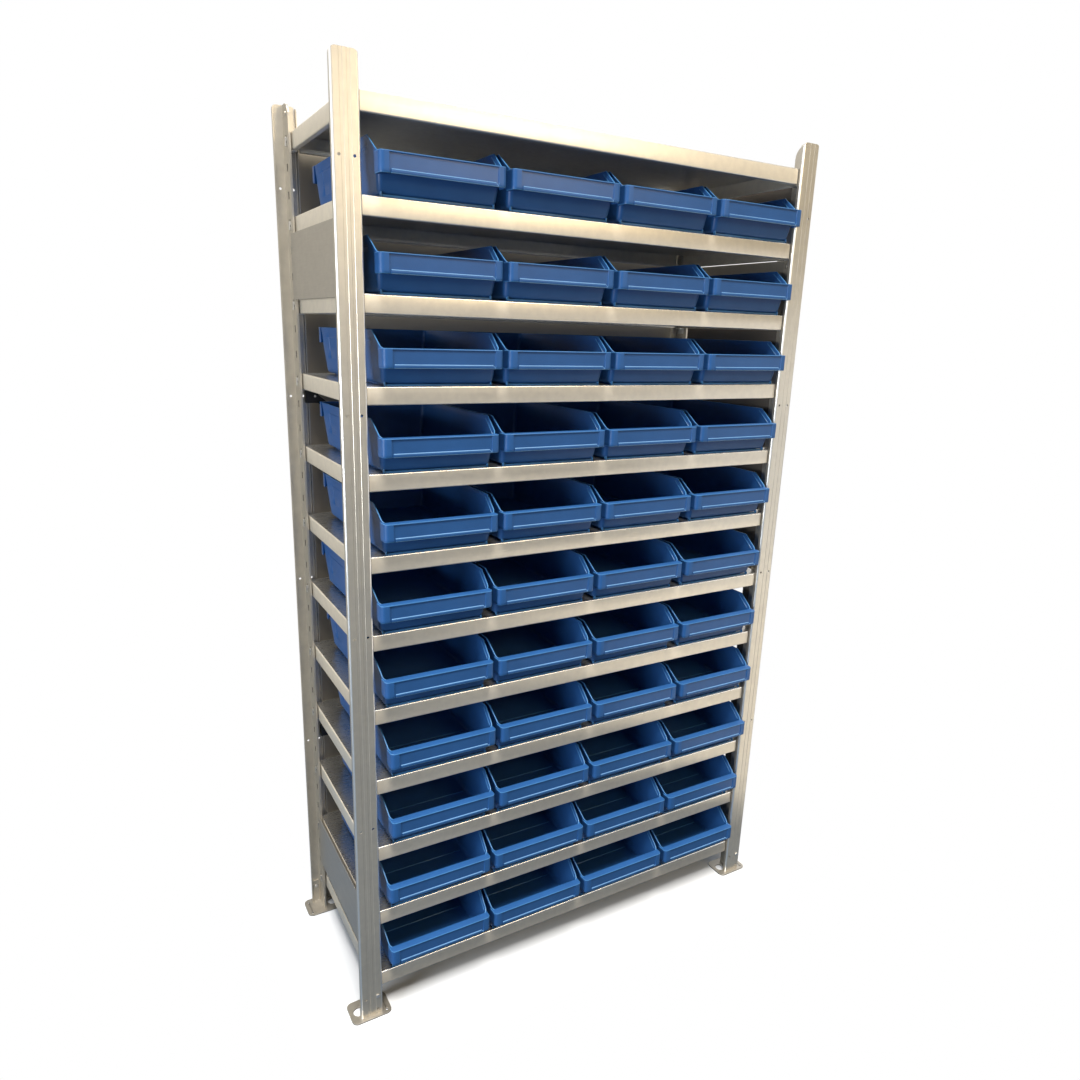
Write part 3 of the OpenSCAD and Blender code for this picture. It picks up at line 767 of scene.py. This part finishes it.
class Nodes:
    """Small helper to build a material's node tree around one Principled shader."""

    def __init__(self, name):
        self.material = bpy.data.materials.new(name)
        self.material.use_nodes = True
        self.tree = self.material.node_tree
        self.shader = self.tree.nodes["Principled BSDF"]

    def add(self, kind, **settings):
        node = self.tree.nodes.new(kind)
        for key, value in settings.items():
            setattr(node, key, value)
        return node

    def link(self, source, target):
        self.tree.links.new(source, target)

    def noise(self, scale, detail, stretch=GRAIN_EVEN):
        place = self.add("ShaderNodeTexCoord")
        mapping = self.add("ShaderNodeMapping")
        mapping.inputs["Scale"].default_value = stretch
        texture = self.add("ShaderNodeTexNoise")
        texture.inputs["Scale"].default_value = scale
        texture.inputs["Detail"].default_value = detail
        self.link(place.outputs["Object"], mapping.inputs["Vector"])
        self.link(mapping.outputs["Vector"], texture.inputs["Vector"])
        return texture.outputs["Fac"]

    def ramp(self, value, stops):
        ramp = self.add("ShaderNodeValToRGB")
        elements = ramp.color_ramp.elements
        while len(elements) < len(stops):
            elements.new(0.5)
        for element, (position, colour) in zip(elements, stops):
            element.position = position
            element.color = (*colour, 1.0)
        self.link(value, ramp.inputs["Fac"])
        return ramp.outputs["Color"]

    def span(self, value, low, high, source=NOISE_REACH):
        node = self.add("ShaderNodeMapRange")
        node.inputs["From Min"].default_value, node.inputs["From Max"].default_value = source
        node.inputs["To Min"].default_value, node.inputs["To Max"].default_value = low, high
        self.link(value, node.inputs["Value"])
        return node.outputs["Result"]

    def put(self, value, socket):
        """Links an output to a socket, or sets the socket to a fixed value."""
        if isinstance(value, bpy.types.NodeSocket):
            self.link(value, socket)
        else:
            socket.default_value = value

    def blend(self, kind, factor, a, b):
        node = self.add("ShaderNodeMix", data_type="RGBA", blend_type=kind)
        self.put(factor, node.inputs["Factor"])
        self.put(a, node.inputs[MIX_A])
        self.put(b, node.inputs[MIX_B])
        return node.outputs[MIX_RESULT]

    def math(self, operation, *values):
        node = self.add("ShaderNodeMath", operation=operation)
        for socket, value in zip(node.inputs, values):
            self.put(value, socket)
        return node.outputs["Value"]

    def gap(self, a, b):
        return self.math("ABSOLUTE", self.math("SUBTRACT", a, b))

    def axes_of(self, name):
        """X, Y and Z of the surface's place or direction."""
        geometry = self.add("ShaderNodeNewGeometry")
        axes = self.add("ShaderNodeSeparateXYZ")
        self.link(geometry.outputs[name], axes.inputs["Vector"])
        return axes.outputs

    def bend_highlight(self):
        """1 on the rounded edges of a post's face, where a highlight is painted, 0 on its flat parts and
        its stiffening grooves.
        """
        turned, place = self.axes_of("Normal"), self.axes_of("Position")
        slant = self.math("ABSOLUTE", self.math("MULTIPLY", turned["X"], turned["Y"]))
        off_centre = self.gap(self.math("ABSOLUTE", place["X"]), POST_CENTRE)
        edge = self.span(off_centre, 0.0, 1.0, POST_EDGE)
        return self.math("MULTIPLY", edge, self.span(slant, 0.0, 1.0, BEND_SLANT))

    def slots(self):
        """1 on the walls of the slots inside a post's web, where shade is painted, 0 elsewhere."""
        place = self.axes_of("Position")
        off_web = self.gap(self.math("ABSOLUTE", place["X"]), POST_CENTRE)
        off_slots = self.gap(self.gap(place["Y"], FRAME_MID_Y), SLOT_OFF)
        in_web = self.span(off_web, 1.0, 0.0, WEB_REACH)
        in_row = self.span(off_slots, 1.0, 0.0, SLOT_REACH)
        below = self.span(place["Z"], 1.0, 0.0, SLOT_TOP)
        return self.math("MULTIPLY", below, self.math("MULTIPLY", in_web, in_row))

    def clouds(self, scale, colour, tones, detail=MANY_LAYERS):
        """Colour that drifts between a darker and a lighter tone."""
        stops = [(value, scaled(colour, tone)) for value, tone in zip(NOISE_REACH, tones)]
        return self.ramp(self.noise(scale, detail), stops)

    def roughen(self, grain, roughness, spread):
        """Roughness that a grain moves up and down."""
        low, high = spread
        self.link(self.span(grain, roughness + low, roughness + high), self.shader.inputs["Roughness"])

    def cover(self, factor, other):
        """Shows another shader in place of the material's own, by a factor."""
        mix = self.add("ShaderNodeMixShader")
        self.link(factor, mix.inputs["Fac"])
        self.link(self.shader.outputs["BSDF"], mix.inputs[1])
        self.link(other, mix.inputs[2])
        self.link(mix.outputs["Shader"], self.tree.nodes["Material Output"].inputs["Surface"])

    def bump(self, height, strength, distance):
        node = self.add("ShaderNodeBump")
        node.inputs["Strength"].default_value = strength
        node.inputs["Distance"].default_value = distance
        self.link(height, node.inputs["Height"])
        self.link(node.outputs["Normal"], self.shader.inputs["Normal"])

    def set(self, **values):
        for name, value in values.items():
            self.shader.inputs[name.replace("_", " ")].default_value = value


def scaled(colour, factor):
    return tuple(channel * factor for channel in colour)


def galvanised(name, colour, metallic, roughness, stretch, upright_bend_highlight=False):
    """Bright zinc sheet: soft cloudy tone, faint spangle, a fine rolled grain; on posts a painted
    highlight on bends and painted shade in slots.
    """
    nodes = Nodes(name)
    clouds = nodes.clouds(ZINC_CLOUDS, colour, ZINC_TONES)
    spangle = nodes.ramp(nodes.noise(ZINC_SPANGLE, FEW_LAYERS), SPANGLE_STOPS)
    tone = nodes.blend("MULTIPLY", 1.0, clouds, spangle)
    nodes.set(Metallic=metallic)
    if upright_bend_highlight:
        bend_highlight = nodes.bend_highlight()
        slots = nodes.slots()
        # Painted highlight: a pale tone and full metal on the rounded bends
        tone = nodes.blend("MIX", bend_highlight, tone, (*PAINTED_BEND_HIGHLIGHT, 1.0))
        # Painted shade: a dark tone and no metal on the walls of the web's slots
        tone = nodes.blend("MIX", slots, tone, (*SLOT_PAINTED_SHADE, 1.0))
        metal = nodes.span(bend_highlight, metallic, 1.0, (0.0, 1.0))
        outside_slot_shade = nodes.math("SUBTRACT", 1.0, slots)
        nodes.link(nodes.math("MULTIPLY", metal, outside_slot_shade), nodes.shader.inputs["Metallic"])
    nodes.link(tone, nodes.shader.inputs["Base Color"])
    nodes.roughen(nodes.noise(ZINC_GRAIN, FEW_LAYERS, stretch), roughness, ZINC_SPREAD)
    nodes.bump(nodes.noise(ZINC_SKIN, FEW_LAYERS), *ZINC_BUMP)
    return nodes.material


def painted(name, colour, roughness):
    """Dull black finish with a faint dusty cloud."""
    nodes = Nodes(name)
    tone = nodes.clouds(PAINT_CLOUDS, colour, PAINT_TONES)
    nodes.link(tone, nodes.shader.inputs["Base Color"])
    grain = nodes.noise(PAINT_GRAIN, SOME_LAYERS)
    nodes.roughen(grain, roughness, PAINT_SPREAD)
    nodes.bump(grain, *PAINT_BUMP)
    return nodes.material


def moulded(name, colour, roughness):
    """Moulded plastic: slight flow clouds in the colour and a fine skin grain."""
    nodes = Nodes(name)
    tone = nodes.clouds(PLASTIC_CLOUDS, colour, PLASTIC_TONES)
    nodes.link(tone, nodes.shader.inputs["Base Color"])
    grain = nodes.noise(PLASTIC_GRAIN, FEW_LAYERS)
    nodes.roughen(grain, roughness, PLASTIC_SPREAD)
    nodes.bump(grain, *PLASTIC_BUMP)
    nodes.set(Specular_IOR_Level=PLASTIC_SPECULAR)
    return nodes.material


def soften(piece, width):
    """Rounds the edges of a solid with modifiers; its mesh stays as it was packed."""
    weld = piece.modifiers.new("weld", "WELD")
    weld.merge_threshold = WELD_DISTANCE
    bevel = piece.modifiers.new("bevel", "BEVEL")
    bevel.width = width * MM
    bevel.segments = BEVEL_SEGMENTS
    bevel.limit_method = "ANGLE"
    bevel.angle_limit = BEVEL_ANGLE


def finish_solids(nodes, material, width):
    for node in nodes:
        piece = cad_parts[node]
        for slot in piece.material_slots:
            slot.material = material
        soften(piece, width)


def finish_frame():
    finish_solids(POSTS, galvanised(*POST_ZINC, upright_bend_highlight=True), POST_ROUND)
    finish_solids(PLATES, galvanised(*PLATE_ZINC), PLATE_ROUND)
    finish_solids(FASTENERS, galvanised(*FASTENER_ZINC), FASTENER_ROUND)
    finish_solids(BRACE, painted(*BRACE_BLACK), BRACE_ROUND)


def add_camera():
    data = bpy.data.cameras.new("camera")
    data.sensor_width = CAMERA_SENSOR
    data.sensor_fit = "HORIZONTAL"
    data.lens = CAMERA_LENS
    data.shift_x, data.shift_y = CAMERA_SHIFT
    data.clip_end = CAMERA_CLIP_END
    yaw, pitch, roll = CAMERA_YAW, CAMERA_PITCH, CAMERA_ROLL
    ahead = Vector((math.sin(yaw) * math.cos(pitch), math.cos(yaw) * math.cos(pitch), math.sin(pitch)))
    level = Vector((math.cos(yaw), -math.sin(yaw), 0))
    upright = level.cross(ahead)
    right = math.cos(roll) * level + math.sin(roll) * upright
    up = math.cos(roll) * upright - math.sin(roll) * level
    turn = Matrix((right, up, -ahead)).transposed().to_4x4()
    camera = add_object("camera", data)
    camera.matrix_world = Matrix.Translation(CAMERA_PLACE) @ turn
    bpy.context.scene.camera = camera


def add_softbox(name, place, target, size, watts, colour):
    data = bpy.data.lights.new(name, "AREA")
    data.shape = "RECTANGLE"
    data.size, data.size_y = size
    data.energy = watts
    data.color = colour
    lamp = add_object(name, data)
    lamp.location = place
    lamp.rotation_euler = (Vector(target) - Vector(place)).to_track_quat("-Z", "Y").to_euler()
    lamp.visible_camera = False


def seen_directly(tree):
    """Factor that is 1 for camera, glossy and transmission rays."""
    path = tree.nodes.new("ShaderNodeLightPath")
    total = path.outputs["Is Camera Ray"]
    for name in ("Is Glossy Ray", "Is Transmission Ray"):
        largest = tree.nodes.new("ShaderNodeMath")
        largest.operation = "MAXIMUM"
        tree.links.new(total, largest.inputs[0])
        tree.links.new(path.outputs[name], largest.inputs[1])
        total = largest.outputs[0]
    return total


def add_world():
    world = bpy.data.worlds.new("studio")
    world.use_nodes = True
    tree = world.node_tree
    ambient = tree.nodes["Background"]
    ambient.inputs["Color"].default_value = AMBIENT_COLOUR
    ambient.inputs["Strength"].default_value = AMBIENT_STRENGTH
    white = tree.nodes.new("ShaderNodeBackground")
    white.inputs["Color"].default_value = WHITE
    mix = tree.nodes.new("ShaderNodeMixShader")
    tree.links.new(seen_directly(tree), mix.inputs["Fac"])
    tree.links.new(ambient.outputs["Background"], mix.inputs[1])
    tree.links.new(white.outputs["Background"], mix.inputs[2])
    tree.links.new(mix.outputs["Shader"], tree.nodes["World Output"].inputs["Surface"])
    bpy.context.scene.world = world


def disc(name, radius, z):
    mesh = bpy.data.meshes.new(name)
    turns = [2 * math.pi * k / DISC_STEPS for k in range(DISC_STEPS)]
    rim = [(radius * math.cos(t), radius * math.sin(t), z) for t in turns]
    mesh.from_pydata(rim, [], [tuple(range(DISC_STEPS))])
    return mesh


def add_floor():
    """Pale floor that keeps the shadow near the unit and runs out into white."""
    mesh = disc("floor", FLOOR_RADIUS, FLOOR_Z)
    nodes = Nodes("floor_pale")
    nodes.set(Base_Color=FLOOR_COLOUR, Roughness=FLOOR_ROUGHNESS, Specular_IOR_Level=FLOOR_SPECULAR)
    place = nodes.add("ShaderNodeTexCoord")
    folded = nodes.add("ShaderNodeVectorMath", operation="ABSOLUTE")
    nodes.link(place.outputs["Object"], folded.inputs[0])
    outside = nodes.add("ShaderNodeVectorMath", operation="SUBTRACT")
    outside.inputs[1].default_value = FLOOR_FOOTPRINT
    nodes.link(folded.outputs["Vector"], outside.inputs[0])
    beyond = nodes.add("ShaderNodeVectorMath", operation="MAXIMUM")
    nodes.link(outside.outputs["Vector"], beyond.inputs[0])
    length = nodes.add("ShaderNodeVectorMath", operation="LENGTH")
    nodes.link(beyond.outputs["Vector"], length.inputs[0])
    fade = nodes.add("ShaderNodeMapRange", interpolation_type="SMOOTHSTEP")
    fade.inputs["From Min"].default_value, fade.inputs["From Max"].default_value = FLOOR_FADE
    nodes.link(length.outputs["Value"], fade.inputs["Value"])
    amount = nodes.math("MULTIPLY", fade.outputs["Result"], seen_directly(nodes.tree))
    white = nodes.add("ShaderNodeEmission")
    nodes.cover(amount, white.outputs["Emission"])
    mesh.materials.append(nodes.material)
    floor = add_object("floor", mesh)
    floor.visible_diffuse = False


def add_card(name, mesh, colour):
    """Grey card seen only in reflections, so that the sheet metal keeps its contrast."""
    nodes = Nodes(name + "_grey")
    tone = nodes.clouds(CARD_CLOUDS, colour, CARD_TONES, SOME_LAYERS)
    nodes.link(tone, nodes.shader.inputs["Base Color"])
    nodes.set(Roughness=DULL_ROUGHNESS)
    mesh.materials.append(nodes.material)
    card = add_object(name, mesh)
    card.visible_camera = card.visible_diffuse = card.visible_shadow = False


def add_cards():
    """A dark disc laid over the floor, and flat cards behind the unit and at its front right."""
    add_card("card_floor", disc("card_floor", CARD_RADIUS, 0.0), CARD_GREY)
    for name, corner, along, across, grey in FLAT_CARDS:
        corner, along, across = Vector(corner), Vector(along), Vector(across)
        corners = [corner, corner + along, corner + along + across, corner + across]
        card = bpy.data.meshes.new(name)
        card.from_pydata(corners, [], [(0, 1, 2, 3)])
        add_card(name, card, grey)


def one_sided(name, colour):
    """Dull wall paint that is clear from behind."""
    nodes = Nodes(name)
    tone = nodes.clouds(BOARD_CLOUDS, colour, BOARD_TONES, SOME_LAYERS)
    nodes.link(tone, nodes.shader.inputs["Base Color"])
    nodes.set(Roughness=DULL_ROUGHNESS)
    side = nodes.add("ShaderNodeNewGeometry")
    clear = nodes.add("ShaderNodeBsdfTransparent")
    nodes.cover(side.outputs["Backfacing"], clear.outputs["BSDF"])
    return nodes.material


def board(start, end, low, high):
    return [(*start, low), (*end, low), (*end, high), (*start, high)]


def add_backdrop():
    """Boards close behind and right of the bins, seen through the unit's gaps and clear from behind."""
    left, right = BACKDROP_X
    corners = board((left, BACKDROP_Y), (right, BACKDROP_Y), *BACKDROP_Z)
    for (front, rear), height in SIDE_BOARDS:
        corners += board((SIDE_BOARD_X, rear), (SIDE_BOARD_X, front), *height)
    mesh = bpy.data.meshes.new("backdrop")
    mesh.from_pydata(corners, [], [range(k, k + 4) for k in range(0, len(corners), 4)])
    mesh.materials.append(one_sided("backdrop_beige", BACKDROP_BEIGE))
    # The side boards take the dark brown: painted shade in the gaps
    mesh.materials.append(one_sided("backdrop_side_shade", SIDE_BOARD_SHADE))
    for face in list(mesh.polygons)[1:]:
        face.material_index = 1
    wall = add_object("backdrop", mesh)
    wall.visible_diffuse = wall.visible_glossy = wall.visible_shadow = False


def main():
    bpy.context.scene.view_settings.view_transform = "Standard"
    add_camera()
    add_world()
    add_floor()
    add_cards()
    add_backdrop()
    for lamp in LAMPS:
        add_softbox(*lamp)
    finish_frame()
    build_shelves([galvanised(*finish) for finish in SHELF_ZINC])
    build_bins([moulded(*finish) for finish in BIN_BLUE])


main()
